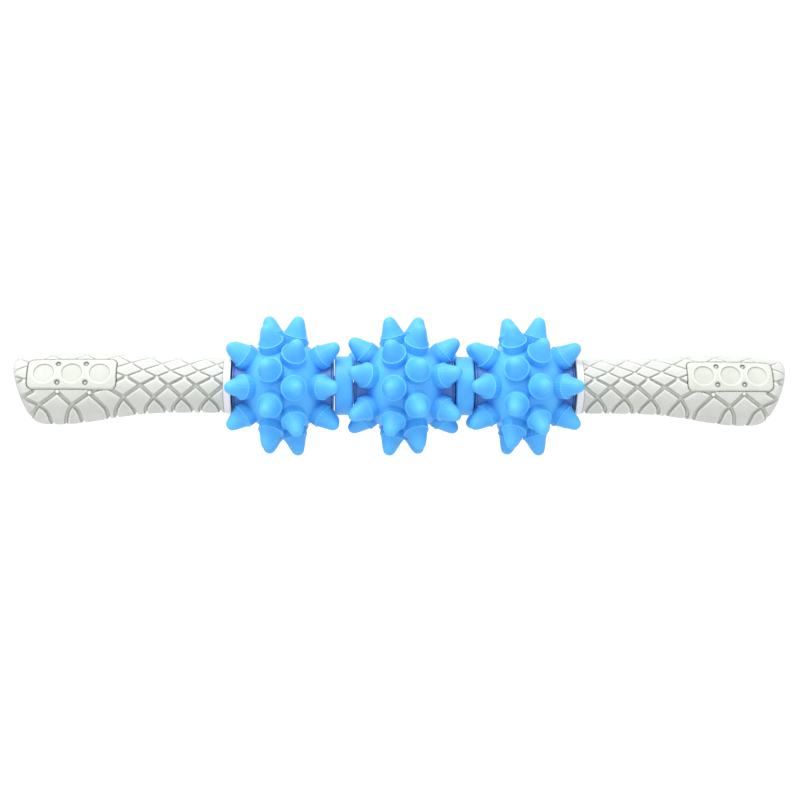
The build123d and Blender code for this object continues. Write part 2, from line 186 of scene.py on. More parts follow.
class Finish:
    """A material; its methods add the nodes that colour and roughen it."""

    def __init__(self, name):
        self.material = bpy.data.materials.new(name)
        self.material.use_nodes = True
        self.tree = self.material.node_tree
        self.shader = self.tree.nodes["Principled BSDF"]

    def node(self, kind, settings, sockets, output=0):
        """Any node: its settings first, then a value or a wire for each socket named."""
        made = self.tree.nodes.new(kind)
        for setting, value in settings.items():
            setattr(made, setting, value)
        for socket, value in sockets.items():
            self.feed(made.inputs[socket], value)
        return Wire(self, made.outputs[output])

    def feed(self, socket, value):
        """Link a wire to a socket, or set the socket's own number or colour."""
        if isinstance(value, Wire):
            self.tree.links.new(value.socket, socket)
        else:
            socket.default_value = value

    def surface(self, **sockets):
        """Set sockets of the shader; a space in a socket's name is written as an underscore."""
        for name, value in sockets.items():
            self.feed(self.shader.inputs[name.replace("_", " ")], value)

    def place(self):
        """Where the point is on the piece, in metres."""
        return self.node("ShaderNodeTexCoord", {}, {}, 3)

    def mark(self, name):
        """A number that the mesh keeps with its points."""
        return self.node("ShaderNodeAttribute", {"attribute_name": name}, {}, 2)

    def grain(self, scale, detail=2.0, roughness=0.5):
        """Soft noise from 0 to 1, in so many lumps to the metre."""
        sockets = {"Vector": self.place(), "Scale": scale, "Detail": detail, "Roughness": roughness}
        return self.node("ShaderNodeTexNoise", {}, sockets)

    def between(self, wire, low, high):
        """0 where the wire is below low, 1 above high, and smooth between."""
        settings = {"interpolation_type": "SMOOTHSTEP"}
        sockets = {"Value": wire, "From Min": low, "From Max": high}
        return self.node("ShaderNodeMapRange", settings, sockets)

    def band(self, wire, low, rise, fall, high):
        """1 from rise to fall, 0 below low and above high, and smooth between."""
        return self.between(wire, low, rise) * (1 - self.between(wire, fall, high))

    def mix(self, share, first, second):
        """Two colours mixed by a share."""
        sockets = {0: share, 6: first, 7: second}
        return self.node("ShaderNodeMix", {"data_type": "RGBA"}, sockets, 2)

    def bump(self, height, distance, strength=1.0):
        """A relief in the surface's light, so many metres deep."""
        sockets = {"Height": height, "Distance": distance, "Strength": strength}
        return self.node("ShaderNodeBump", {}, sockets)


print("finish tools ready")

# %% [markdown]
# The rollers and collars are one soft blue vinyl with a satin skin. Blue light survives many
# bounces between the spikes and green does not, so a strong blue with a middling green turns
# deeper in the hollows by itself. The skin is painted paler at the spikes' tips as painted light,
# and is a little duller there where it rubs. It is painted deeper round its mouths as painted
# shade, and fluted with fine lines beside each spike's ring; the ring itself is painted paler, a
# painted highlight.
# Marks that the mesh keeps with its points tell the finish how far out and how far round a spike
# each point stands. A band gives four heights in millimetres from the ball's middle: where an
# effect begins, is full, begins to fade and ends.

# %% Blue vinyl
# In these blues the tip colour is painted light, the mouth colour painted shade and the ring colour
# a painted highlight.
blues = {
    "deep": (0.070, 0.388, 0.85, 1.0),
    "clear": (0.086, 0.458, 0.88, 1.0),
    "tip": (0.100, 0.475, 0.89, 1.0),
    "mouth_shade": (0.025, 0.15, 0.66, 1.0),
    "flute": (0.035, 0.25, 0.78, 1.0),
    "ring": (0.15, 0.58, 0.92, 1.0),
}
base_band = (23.4, 24.4, 25.9, 26.1)
# This band sets where each spike's ring gets its painted highlight.
ring_highlight_band = (26.05, 26.25, 26.45, 26.7)
cone_band = (26.6, 26.9, 28.0, 32.0)
flute_count = 23.0


def blue_vinyl(name, is_spiked):
    """Satin blue vinyl; a spiked skin has painted light at its tips, painted shade at its mouths,
    a painted highlight on its rings, and flutes.
    """
    finish = Finish(name)
    clouds = finish.between(finish.grain(90.0, 3.0), 0.3, 0.7)
    base = finish.mix(clouds, blues["deep"], blues["clear"])
    roughness = 0.40 + 0.10 * finish.grain(400.0)
    relief = finish.grain(1800.0, 2.0)
    if is_spiked:
        height = finish.mark("height")
        # Paler tips are painted light; their added roughness is wear.
        tip_light_and_wear = finish.between(height, 27.5, 35.5)
        base = finish.mix(tip_light_and_wear * 0.5, base, blues["tip"])
        # The deeper blue round the mouths is painted shade.
        base = finish.mix(finish.mark("mouth_shade") * 0.7, base, blues["mouth_shade"])
        sides = {0: finish.mark("turn_sine"), 1: finish.mark("turn_cosine")}
        turn = finish.node("ShaderNodeMath", {"operation": "ARCTAN2"}, sides)
        waves = turn * flute_count + 5.0 * finish.grain(160.0)
        flutes = finish.node("ShaderNodeMath", {"operation": "SINE"}, {0: waves})
        above_ring = finish.band(height, *cone_band)
        below_ring = finish.band(height, *base_band)
        relief = relief + (above_ring + below_ring) * flutes * 1.6 * finish.grain(250.0)
        patches = finish.between(finish.grain(190.0), 0.42, 0.62)
        lines = (0.7 * above_ring + below_ring) * (0.5 + 0.5 * flutes) * patches
        base = finish.mix(lines * 0.42, base, blues["flute"])
        # The paler ring is a painted highlight.
        base = finish.mix(finish.band(height, *ring_highlight_band) * 0.55, base, blues["ring"])
        roughness = roughness + 0.06 * tip_light_and_wear
    finish.surface(Base_Color=base, Roughness=roughness, Normal=finish.bump(relief, 0.00007, 0.6))
    finish.surface(IOR=1.46, Specular_IOR_Level=0.4)
    return finish.material


roller_vinyl = blue_vinyl("roller_vinyl", True)
collar_vinyl = blue_vinyl("collar_vinyl", False)
print("vinyl:", roller_vinyl.name, collar_vinyl.name)

# %% [markdown]
# Each roller is a hollow ball with thirty spikes in four rows: two staggered rows of nine round
# the middle and a row of six leaning out at each end. A spike has a flared foot, a short base, a
# thin ring from the mould and a rounded cone. Each spike is turned from one outline of rings.
# The ball between the spikes' feet is closed with a convex hull: all those points lie on one
# sphere, so the hull joins each to its nearest neighbours, as a net would.

# %% The outline of one spike, from its foot to its tip
ball_radius = 23.0
foot_angle = 16.0
foot_radius = ball_radius * np.sin(np.radians(foot_angle))
foot_height = ball_radius * np.cos(np.radians(foot_angle))
tip_height = 35.83


def curve(points, count):
    """A smooth curve of so many points through a few given ones, by their order."""
    points = np.array(points, float)
    steps = np.linspace(0, len(points) - 1, count)
    padded = np.vstack([2 * points[0] - points[1], points, 2 * points[-1] - points[-2]])
    first = np.clip(steps.astype(int), 0, len(points) - 2)
    share = (steps - first)[:, None]
    before, start, end, after = (padded[first + shift] for shift in range(4))
    return 0.5 * (
        2 * start + (end - before) * share + (2 * before - 5 * start + 4 * end - after) * share**2
        + (3 * start - before - 3 * end + after) * share**3
    )


foot = curve([(foot_radius, foot_height), (6.32, 22.7), (6.35, 23.6), (6.33, 24.8)], 6)
base = [(6.28, 25.4), (6.24, 25.9)]
ring = [(6.22, 26.05), (6.34, 26.14), (6.38, 26.30), (6.30, 26.46), (6.04, 26.56), (5.84, 26.64)]
cone_bends = [
    (5.72, 26.9), (5.26, 27.9), (4.82, 28.9), (4.40, 30.1), (4.06, 31.1), (3.66, 32.2),
    (3.20, 33.3),
]
cone = curve(cone_bends, 12)
tip = curve([(2.88, 34.0), (2.34, 34.8), (1.74, 35.32), (1.06, 35.66), (0.42, 35.80)], 9)
spike_outline = np.array([*foot, *base, *ring, *cone, *tip])
print("rings on a spike:", len(spike_outline))

# %% Where the spikes stand
spike_rows = ((9, 12.9, 0.0), (9, -12.9, 20.0), (6, 49.2, 0.0), (6, -49.2, 0.0))
spike_axes = []
for count, latitude, stagger in spike_rows:
    for index in range(count):
        turn = np.radians(stagger + 360 / count * index)
        lean = np.radians(latitude)
        out = -np.cos(lean)
        spike_axes.append((np.sin(lean), out * np.cos(turn), out * np.sin(turn)))
spike_axes = np.array(spike_axes)
print("spikes:", len(spike_axes))


# %% One spike, as rings of points
spike_sides = 44
free_height = 3.0
tip_lean = 0.16


def spike_points(axis, number):
    """The rings and the tip of one spike, with the small unevenness of a soft moulding."""
    side = np.cross(axis, (1.0, 0.0, 0.0))
    side /= np.linalg.norm(side)
    other = np.cross(axis, side)
    turns = np.linspace(0, 2 * np.pi, spike_sides, endpoint=False)
    circle = np.cos(turns)[:, None] * side + np.sin(turns)[:, None] * other
    sway = tip_lean * (np.cos(1.7 * number) * side + np.sin(1.7 * number) * other)
    points = []
    for radius, height in spike_outline:
        share = np.clip((height - foot_height) / (tip_height - foot_height), 0, 1)
        free = np.clip((height - foot_height) / free_height, 0, 1)
        wave = 0.035 * np.sin(2 * turns + number) + 0.02 * np.sin(5 * turns + 2.3 * number + height)
        points.append(height * axis + (radius + free * wave)[:, None] * circle + share**2 * sway)
    return np.concatenate(points), tip_height * axis + sway


print("points on a spike:", len(spike_points(spike_axes[0], 0)[0]) + 1)

# %% The net between the spikes' feet
mouth_radius = 9.25
mouth_place = np.sqrt(ball_radius**2 - mouth_radius**2)
mouth_sides = 96


def round_points(place, radius, sides=mouth_sides):
    """A ring of points round the tube's axis."""
    turns = np.linspace(0, 2 * np.pi, sides, endpoint=False)
    return np.stack([np.full(sides, place), radius * np.cos(turns), radius * np.sin(turns)], 1)


def filler_points(spacing):
    """Evenly spread points on the ball, clear of the spikes' feet and of both mouths."""
    cell_area = 0.87 * spacing**2
    count = int(4 * np.pi * ball_radius**2 / cell_area)
    index = np.arange(count) + 0.5
    lift = 1 - 2 * index / count
    turn = np.pi * (1 + 5**0.5) * index
    flat = np.sqrt(1 - lift**2)
    unit = np.stack([lift, flat * np.cos(turn), flat * np.sin(turn)], 1)
    margin = spacing * 0.6 / ball_radius
    nearest = np.arccos(np.clip(unit @ spike_axes.T, -1, 1)).min(1)
    clear = nearest > np.radians(foot_angle) + margin
    clear &= np.abs(unit[:, 0]) * ball_radius < mouth_place - margin * mouth_radius
    return unit[clear] * ball_radius


def net_faces(points, closed_loops):
    """Triangles between points on a sphere, leaving out those that lie within one closed loop."""
    net = bmesh.new()
    corners = [net.verts.new(point) for point in points]
    for number, corner in enumerate(corners):
        corner.index = number
    bmesh.ops.convex_hull(net, input=corners)
    loop_of = {corner: name for name, loop in enumerate(closed_loops) for corner in loop}
    faces = []
    for face in net.faces:
        indices = [corner.index for corner in face.verts]
        owners = {loop_of.get(index) for index in indices}
        if None in owners or len(owners) > 1:
            faces.append(indices)
    net.free()
    return faces


# %% The skin of a roller
mouth_outline = ((20.9, 9.2), (19.6, 9.2), (18.3, 9.2))
inner_radius = 20.0
inner_rings = 22
skin_bore = 9.2
net_spacing = 1.15


def wall_faces(low, high):
    """Quads between two closed rings, each given by the numbers of its points."""
    return np.stack([low, np.roll(low, -1), np.roll(high, -1), high], 1).tolist()


def fan_faces(ring, tip):
    """Triangles from a closed ring of point numbers to one point."""
    return np.stack([ring, np.roll(ring, -1), np.full(len(ring), tip)], 1).tolist()


def all_spikes():
    """Points and faces of all the spikes, and the point numbers of each foot."""
    points, faces, feet = [], [], []
    count = 0
    for number, axis in enumerate(spike_axes):
        rings, top = spike_points(axis, number)
        levels = count + np.arange(len(rings)).reshape(-1, spike_sides)
        for low, high in zip(levels, levels[1:]):
            faces += wall_faces(low, high)
        faces += fan_faces(levels[-1], count + len(rings))
        points += [rings, top[None]]
        feet.append(levels[0])
        count += len(rings) + 1
    return np.vstack(points), faces, feet


def roller_skin_mesh():
    """Points and faces of one roller's skin about its own middle, in millimetres."""
    spikes, faces, feet = all_spikes()
    filler = filler_points(net_spacing)
    mouths = [round_points(way * mouth_place, mouth_radius) for way in (-1, 1)]
    points = np.vstack([spikes, filler, *mouths])
    mouth_loops = np.arange(len(points) - 2 * mouth_sides, len(points)).reshape(2, -1)
    net_points = [*np.concatenate(feet).tolist(), *range(len(spikes), len(points))]
    where = {point: order for order, point in enumerate(net_points)}
    loops = [[where[point] for point in loop.tolist()] for loop in (*feet, *mouth_loops)]
    for face in net_faces(points[net_points], loops):
        faces.append([net_points[corner] for corner in face])
    inner_end = np.sqrt(inner_radius**2 - skin_bore**2)
    ends = [np.arctan2(skin_bore, way * inner_end) for way in (-1, 1)]
    angles = np.linspace(*ends, inner_rings)
    inside = [(inner_radius * np.cos(angle), inner_radius * np.sin(angle)) for angle in angles]
    chain = [(-x, r) for x, r in mouth_outline] + inside + list(reversed(mouth_outline))
    inner_loops = len(points) + np.arange(len(chain) * mouth_sides).reshape(-1, mouth_sides)
    loops = [mouth_loops[0], *inner_loops, mouth_loops[1]]
    for low, high in zip(loops, loops[1:]):
        faces += np.stack([low, high, np.roll(high, -1), np.roll(low, -1)], 1).tolist()
    return np.vstack([points, *(round_points(*place) for place in chain)]), faces


skin_points, skin_faces = roller_skin_mesh()
print("roller skin:", len(skin_points), "points,", len(skin_faces), "faces")


# %% [markdown]
# The neck of the roller's core comes out through the skin at both ends and is wider than the ball's
# own mouth, so the feet of the outer spikes stand partly on it. The skin is cut to the neck with
# one round cutter, as a mould's core pin would leave it.


# %% Cut the skin to the neck
neck_radius = 13.4
cutter_sides = 128


def face_outwards(mesh):
    """Turn the faces of a mesh outwards, and count the edges that don't join just two of them."""
    work = bmesh.new()
    work.from_mesh(mesh)
    bmesh.ops.recalc_face_normals(work, faces=work.faces)
    open_edges = sum(1 for edge in work.edges if len(edge.link_faces) != 2)
    work.to_mesh(mesh)
    work.free()
    return open_edges


def helper_object(name, points, faces):
    """An object that is only there for a cut."""
    mesh = bpy.data.meshes.new(name)
    mesh.from_pydata(np.asarray(points).tolist(), [], faces)
    mesh.validate()
    face_outwards(mesh)
    helper = bpy.data.objects.new(name, mesh)
    scene.collection.objects.link(helper)
    return helper


def cut_round(points, faces, radius, half_length, sides=cutter_sides):
    """The points and faces of a closed mesh that are left by a round cutter along X."""
    uncut = helper_object("uncut_skin", points, faces)
    rims = np.vstack([round_points(end, radius, sides) for end in (-half_length, half_length)])
    around = np.arange(sides)
    ends = [around[::-1].tolist(), (around + sides).tolist()]
    cutter = helper_object("neck_cutter", rims, wall_faces(around, around + sides) + ends)
    cut = uncut.modifiers.new("cut", "BOOLEAN")
    cut.operation = "DIFFERENCE"
    cut.solver = "EXACT"
    cut.object = cutter
    bpy.context.view_layer.update()
    result = uncut.evaluated_get(bpy.context.evaluated_depsgraph_get()).to_mesh()
    left_points = np.array([corner.co[:] for corner in result.vertices])
    left_faces = [list(face.vertices) for face in result.polygons]
    for helper in (uncut, cutter):
        data = helper.data
        bpy.data.objects.remove(helper)
        bpy.data.meshes.remove(data)
    return left_points, left_faces


skin_points, skin_faces = cut_round(skin_points, skin_faces, neck_radius, 2 * ball_radius)
print("cut skin:", len(skin_points), "points,", len(skin_faces), "faces")


# %% Put a mesh in the scene
def make_piece(name, points, faces, finish, body, replaced=(), crease=40.0, marks=()):
    """A piece from points in millimetres, smooth up to the crease angle; it rides a body and may
    stand for CAD nodes. Marks are numbers kept with its points, for the finish to read."""
    mesh = bpy.data.meshes.new(name)
    mesh.from_pydata((np.asarray(points) * MM).tolist(), [], faces)
    mesh.validate()
    open_edges = face_outwards(mesh)
    mesh.polygons.foreach_set("use_smooth", np.ones(len(mesh.polygons), bool))
    mesh.set_sharp_from_angle(angle=np.radians(crease))
    for mark, values in marks:
        kept = mesh.attributes.new(mark, "FLOAT", "POINT")
        kept.data.foreach_set("value", values.astype(np.float32))
    mesh.materials.append(finish)
    piece = bpy.data.objects.new(name, mesh)
    scene.collection.objects.link(piece)
    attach(piece, body)
    if replaced:
        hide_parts(*replaced)
    counts = (len(mesh.vertices), "points,", len(mesh.polygons), "faces,", open_edges)
    print(name, *counts, "open edges")
    return piece


# %% What the skin's points know of the spikes
def spike_marks(points):
    """For each point of a skin: its height on the nearest spike, its turn about that spike, and
    how near a mouth it is, as the share of painted shade there."""
    points = np.asarray(points)
    nearest = (points @ spike_axes.T).argmax(1)
    axes = spike_axes[nearest]
    height = (points * axes).sum(1)
    side = np.cross(axes, (1.0, 0.0, 0.0))
    side /= np.linalg.norm(side, axis=1)[:, None]
    other = np.cross(axes, side)
    across, along = (points * side).sum(1), (points * other).sum(1)
    size = np.maximum(np.hypot(across, along), 0.2)
    from_tube = np.hypot(points[:, 1], points[:, 2])
    # How much painted shade a point gets round a mouth: near the tube, near the ball's end, off the
    # spikes.
    near_tube = np.clip((20.5 - from_tube) / 5.0, 0, 1)
    near_end = np.clip((np.abs(points[:, 0]) - 12.5) / 4.0, 0, 1)
    off_spikes = np.clip((25.5 - np.linalg.norm(points, axis=1)) / 2.0, 0, 1)
    mouth_shade = near_tube * near_end * off_spikes
    turns = [("turn_cosine", across / size), ("turn_sine", along / size)]
    return [("height", height), *turns, ("mouth_shade", mouth_shade)]


skin_marks = spike_marks(skin_points)
print("skin marks:", [name for name, _ in skin_marks])

# %% The three rollers
roller_pitch = sum(corner.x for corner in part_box("right_roller_skin")) / 2 / MM
roller_turns = {"left": 2.6, "middle": -18.0, "right": 0.0}
roller_places = {"left": -roller_pitch, "middle": 0.0, "right": roller_pitch}
for side, place in roller_places.items():
    turn = np.radians(roller_turns[side])
    about_tube = np.array(Matrix.Rotation(turn, 3, "X"))
    points = skin_points @ about_tube.T + (place, 0, 0)
    make_piece(
        f"{side}_spiked_skin", points, skin_faces, roller_vinyl, f"{side}_roller",
        (f"{side}_roller_skin",), 40.0, skin_marks,
    )

# %% [markdown]
# The grip is soft pale rubber. Its section is round at the neck and grows into an oval with a
# heavy belly, which fills the palm, and its end is a slanted dome. The net below walks along the
# grip and round it in even steps. Every point knows how far along (s, in millimetres) and how far
# round (t, in degrees from the front, positive downwards) it stands, and the scale pattern and the
# plate's pocket are carved by moving points inwards along the surface's normal.

# %% The grip's sections
grip_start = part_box("right_grip")[0].x / MM
grip_length = 101.2
neck = 13.6
crown_height = 2.0
belly_depth = 6.0
cheek_width = 1.4
stations = np.array((
    (0.00, 0.00, 0.00, 0.00),
    (0.18, 0.03, 0.00, 0.02),
    (0.34, 0.25, 0.06, 0.18),
    (0.48, 0.65, 0.30, 0.48),
    (0.62, 0.95, 0.68, 0.80),
    (0.78, 0.88, 1.00, 1.00),
    (0.92, 0.30, 0.86, 0.80),
    (1.08, -0.75, 0.10, 0.10),
))


def through(places, values, at):
    """The smooth curve through the values at some places, read at others."""
    gaps = np.diff(places)
    slopes = np.diff(values) / gaps
    sums = np.eye(len(places))
    bends = np.zeros(len(places))
    for k in range(1, len(places) - 1):
        sums[k, k - 1:k + 2] = gaps[k - 1], 2 * (gaps[k - 1] + gaps[k]), gaps[k]
        bends[k] = 6 * (slopes[k] - slopes[k - 1])
    bends = np.linalg.solve(sums, bends)
    k = np.clip(np.searchsorted(places, at) - 1, 0, len(places) - 2)
    before, after = at - places[k], places[k + 1] - at
    return (
        (bends[k] * after**3 + bends[k + 1] * before**3) / (6 * gaps[k])
        + (values[k] / gaps[k] - bends[k] * gaps[k] / 6) * after
        + (values[k + 1] / gaps[k] - bends[k + 1] * gaps[k] / 6) * before
    )


def section(s):
    """Half width, half height and middle height of the grip's oval at each s."""
    share = s / grip_length
    top = neck + crown_height * through(stations[:, 0], stations[:, 1], share)
    bottom = neck + belly_depth * through(stations[:, 0], stations[:, 2], share)
    half_width = neck + cheek_width * through(stations[:, 0], stations[:, 3], share)
    return half_width, (top + bottom) / 2, (top - bottom) / 2


def on_side(s, t, lift=0.0):
    """Points on the grip's side, in millimetres from the grip's start, lifted off by an amount."""
    wide, tall, middle = section(s)
    turn = np.radians(t)
    out_y, out_z = -tall * np.cos(turn), -wide * np.sin(turn)
    size = np.hypot(out_y, out_z)
    y = -wide * np.cos(turn) + lift * out_y / size
    z = middle - tall * np.sin(turn) + lift * out_z / size
    return np.stack([s + 0 * y, y, z], -1)


print("grip starts at", round(grip_start, 3), "mm; sections:", len(stations))

# %% The slanted end
dome_radius = 110.0
end_slant = np.radians(16.0)
dome_x = grip_length - dome_radius * np.cos(end_slant)
dome_z = dome_radius * np.sin(end_slant)
end_round = 3.6


def on_dome(y, z):
    """How far along the domed end is, straight out from a point of the section."""
    return dome_x + np.sqrt(dome_radius**2 - y**2 - (z - dome_z) ** 2)


def corner_place(t):
    """Where along the grip its side would meet the end without any rounding."""
    s = np.full_like(t, grip_length)
    for _ in range(12):
        point = on_side(s, t)
        s = on_dome(point[:, 1], point[:, 2])
    return s


end_reach = [corner_place(np.array([turn])).round(2) for turn in (90.0, -90.0)]
print("end reaches from", end_reach[0], "to", end_reach[1])

# %% [markdown]
# The scale pattern is a net of grooves. Its crossings stand in columns along the grip and in rows
# round it; each crossing is joined to the two above and the two below it, which leaves diamonds
# between. The rows lean towards the neck on the upper side. Below the thumb plate the diamonds
# grow, their crossings are placed one by one, and three short grooves run up to the plate. Low on
# each side most crossings send legs down, which run on underneath to the other side.

# %% Where the grooves cross
row_turns = (-90.0, -69.5, -48.5, -31.0, -17.5, 0.0, 25.0)
back_row_turns = (-90.0, -71.0, -54.0, -38.0, -22.0, -4.0, 13.0)
row_leans = (5.7, 4.5, 3.6, 1.5, 1.7, 0.4, 0.0)
row_half_widths = (0.5, 0.5, 0.5, 0.5, 0.8, 1.05, 1.05, 1.05)
leg_row = 6
last_row = 7
neck_pitch = 6.72
neck_column = 6
belly_pitch = 8.2
belly_start = 40.5
flare_column = 8
flare_lean = 1.6
front_flare = {
    (7, 6): (48.5, 21.5), (9, 6): (64.6, 9.2), (11, 6): (80.0, 3.9), (13, 6): (97.2, 14.5),
    (10, 7): (73.3, 27.8), (12, 7): (89.3, 26.8), (14, 7): (105.5, 30.0),
}
neck_leg = ((4.3, 52.0), (4.9, 90.0))
flare_legs = {
    (9, 6): (((58.6, 34.5), (56.8, 53.0), (57.2, 90.0)),),
    (10, 7): (((75.9, 45.0), (78.6, 90.0)), ((70.2, 44.0), (69.6, 90.0))),
    (12, 7): (((92.6, 48.8), (95.2, 90.0)), ((85.0, 44.0), (84.4, 90.0))),
}
plate_grooves = [
    (97.2, 14.5, 91.8, 3.0, 0.9), (64.6, 9.2, 64.6, 3.0, 1.1), (80.0, 3.9, 80.0, 0.0, 1.1),
]


def crossing(column, row, is_front):
    """Where a crossing is, as (s, t), or None where there is none."""
    if (column, row) in front_flare and (is_front or row == last_row or column < flare_column):
        return front_flare[column, row]
    under_plate = is_front and row == 5 and 9 <= column <= 12
    if row >= last_row or under_plate:
        return None
    along = 0.2 + neck_pitch * column
    if column > neck_column:
        along = belly_start + belly_pitch * (column - neck_column)
    lean = row_leans[row] + (flare_lean if column > flare_column and row <= 2 else 0.0)
    turn = row_turns[row] if is_front or column < flare_column else back_row_turns[row]
    return along - lean, turn


def groove_lines(is_front):
    """The grooves of one side, in rows: (s, t) at the start, (s, t) at the end, half the width."""
    lines = []
    for row, half in enumerate(row_half_widths):
        for column in range(-2, 16):
            if (column + row) % 2 == 0:
                continue
            start = crossing(column, row, is_front)
            for step in (-1, 1):
                end = crossing(column + step, row + 1, is_front)
                if start is not None and end is not None:
                    lines.append((*start, *end, half))
            legs = flare_legs.get((column, row), ())
            if row == leg_row and column < flare_column:
                legs = [[(start[0] + way * off, turn) for off, turn in neck_leg] for way in (-1, 1)]
            for leg in legs:
                bends = curve([start, *leg], 4 * len(leg) + 1)
                lines += [(*bend, *onward, half) for bend, onward in zip(bends, bends[1:])]
    return np.array(lines + plate_grooves if is_front else lines)


front_lines, back_lines = groove_lines(True), groove_lines(False)
print("grooves:", len(front_lines), "front,", len(back_lines), "back")


# %% How far a point is from the grooves
far = 99.0
lowest_pad = -10.0
pad_drop = 0.9


def smooth(low, high, value):
    """0 below low, 1 above high, smooth between."""
    share = np.clip((value - low) / (high - low), 0, 1)
    return share * share * (3 - 2 * share)


def bell(value, middle, width):
    """1 at the middle, falling smoothly to 0 on both sides."""
    return np.exp(-(((value - middle) / width) ** 2))


def arc_per_degree(s):
    """About how many millimetres one degree round the grip is, at each s."""
    wide, tall, _ = section(s)
    return np.radians(1) * (wide + tall) / 2


def rim_distance(s, t, lines):
    """Distance over the surface to the nearest groove's rim, negative inside; 1 below that groove
    and 0 above it; and the distance to the nearest pad, just below an upper crossing."""
    per_degree = arc_per_degree(s)
    best = np.full(s.shape, far)
    below = np.zeros(s.shape)
    for start_s, start_t, end_s, end_t, half in lines:
        run_s, run_t = end_s - start_s, (end_t - start_t) * per_degree
        off_s, off_t = s - start_s, (t - start_t) * per_degree
        share = np.clip((off_s * run_s + off_t * run_t) / (run_s**2 + run_t**2 + 1e-9), 0, 1)
        apart_s, apart_t = off_s - share * run_s, off_t - share * run_t
        here = np.hypot(apart_s, apart_t) - half
        below = np.where(here < best, smooth(-0.25, 0.25, apart_t), below)
        best = np.minimum(best, here)
    nearest = np.full(s.shape, far)
    for place_s, place_t in np.unique(np.vstack([lines[:, :2], lines[:, 2:4]]), axis=0):
        if place_t < lowest_pad:
            pad = np.hypot(s - place_s, (t - place_t) * per_degree - pad_drop)
            nearest = np.minimum(nearest, pad)
    return best, below, nearest


def both_sides(s, t):
    """The same for points all round: the back is the front's mirror, with its own grooves."""
    t = np.where(t > 180, t - 360, t)
    folded = np.where(t > 90, 180 - t, np.where(t < -90, -180 - t, t))
    is_front = np.abs(t) <= 90
    front, back = (rim_distance(s, folded, lines) for lines in (front_lines, back_lines))
    return [np.where(is_front, ours, theirs) for ours, theirs in zip(front, back)]


# %% The plate's outline on the grip
plate_ends = [corner.x / MM - grip_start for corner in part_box("right_thumb_plate")]
plate_middle = sum(plate_ends) / 2
plate_length = plate_ends[1] - plate_ends[0]
plate_width = 15.6
plate_corner = 2.8
plate_tilt = np.radians(24.0)
plate_out = np.array((0.0, -np.cos(plate_tilt), np.sin(plate_tilt)))
plate_down = np.array((0.0, -np.sin(plate_tilt), -np.cos(plate_tilt)))


def plate_distance(points):
    """Distance from the plate's outline, negative inside; large behind the grip."""
    across = np.abs(points @ plate_down) - (plate_width / 2 - plate_corner)
    along = np.abs(points[..., 0] - plate_middle) - (plate_length / 2 - plate_corner)
    outside = np.hypot(np.maximum(along, 0), np.maximum(across, 0))
    distance = outside + np.minimum(np.maximum(along, across), 0) - plate_corner
    return np.where(points @ plate_out > 0, distance, far)


print("plate outline", round(plate_length, 2), "by", plate_width, "mm")

# %% The net of the grip
columns = 300
side_rows = 284
round_rows = 9
cap_rows = 22
groove_depth = 1.2
pocket_gap = 0.55
pocket_depth = 1.7
turns = -90 + 360 / columns * np.arange(columns)
corner = corner_place(turns)
end_setback = end_round * 1.05
side_end = corner - end_setback
steps = np.concatenate([[0, 0.001, 0.0025, 0.0045], np.linspace(0.0075, 1, side_rows)])
s_grid = steps[:, None] * side_end[None, :]
t_grid = np.broadcast_to(turns, s_grid.shape).copy()


def snapped(s, t, field, reach):
    """Points within reach of a field's zero line, slid onto it, so that it is a clean edge."""
    tiny = 0.02
    per_degree = arc_per_degree(s)
    value = field(s, t)
    near = (np.abs(value) < reach) & (s > 1.0) & (s < side_end[None, :] - 0.4)
    slope_s = (field(s + tiny, t) - field(s - tiny, t)) / (2 * tiny)
    slope_t = (field(s, t + tiny / per_degree) - field(s, t - tiny / per_degree)) / (2 * tiny)
    steep = np.maximum(slope_s**2 + slope_t**2, 0.25)
    move = np.where(near, -value / steep, 0.0)
    return s + move * slope_s, t + move * slope_t / per_degree


def pocket_edge(s, t):
    """Distance from the pocket's edge, negative inside."""
    return plate_distance(on_side(s, t)) - pocket_gap


def groove_rim(s, t):
    """Distance from the nearest groove's rim, negative inside."""
    return both_sides(s, t)[0]


s_grid, t_grid = snapped(s_grid, t_grid, pocket_edge, 0.2)
s_grid, t_grid = snapped(s_grid, t_grid, groove_rim, 0.15)
print("grip net:", s_grid.shape)

# %% [markdown]
# Each scale swells a little from its rim to its middle. A small pad bridges the groove just below
# each upper crossing, and a round pip stands in two of the large crossings below the plate.

# %% Carve the grip's side
neck_edge = 0.45
scale_crown = 0.12
rim_swell = 0.06


def groove_share(rim):
    """How deep a groove is at a distance from its rim, as a share of its full depth."""
    return smooth(-0.05, 0.8, -rim)


def crevice_shade_share(rim, below):
    """The painted shade just inside a groove's rim, stronger on the groove's lower side."""
    return bell(rim, -0.32, 0.26) * (0.35 + 0.65 * below)


rim, below, cross = both_sides(s_grid, t_grid)
in_pocket = pocket_edge(s_grid, t_grid) < -0.03
pads = smooth(0.75, 1.35, cross)
pip_gap = np.full(s_grid.shape, far)
for pip in (front_flare[9, 6], front_flare[11, 6]):
    gap = np.linalg.norm(on_side(s_grid, t_grid) - on_side(*pip), axis=-1)
    pip_gap = np.minimum(pip_gap, gap)
depth = groove_depth * groove_share(rim) * pads * smooth(0.85, 1.15, pip_gap)
fade = smooth(0.0, 1.0, (side_end[None, :] + 0.6 - s_grid) / 3.0)
crown = scale_crown * smooth(0.0, 2.2, rim) + rim_swell * bell(rim, 0.25, 0.3)
from_neck = np.clip(neck_edge - s_grid, 0, neck_edge)
lift = crown * fade - depth - (neck_edge - np.sqrt(neck_edge**2 - from_neck**2))
lift = np.where(in_pocket, -pocket_depth, lift)
side_points = on_side(s_grid, t_grid, lift)
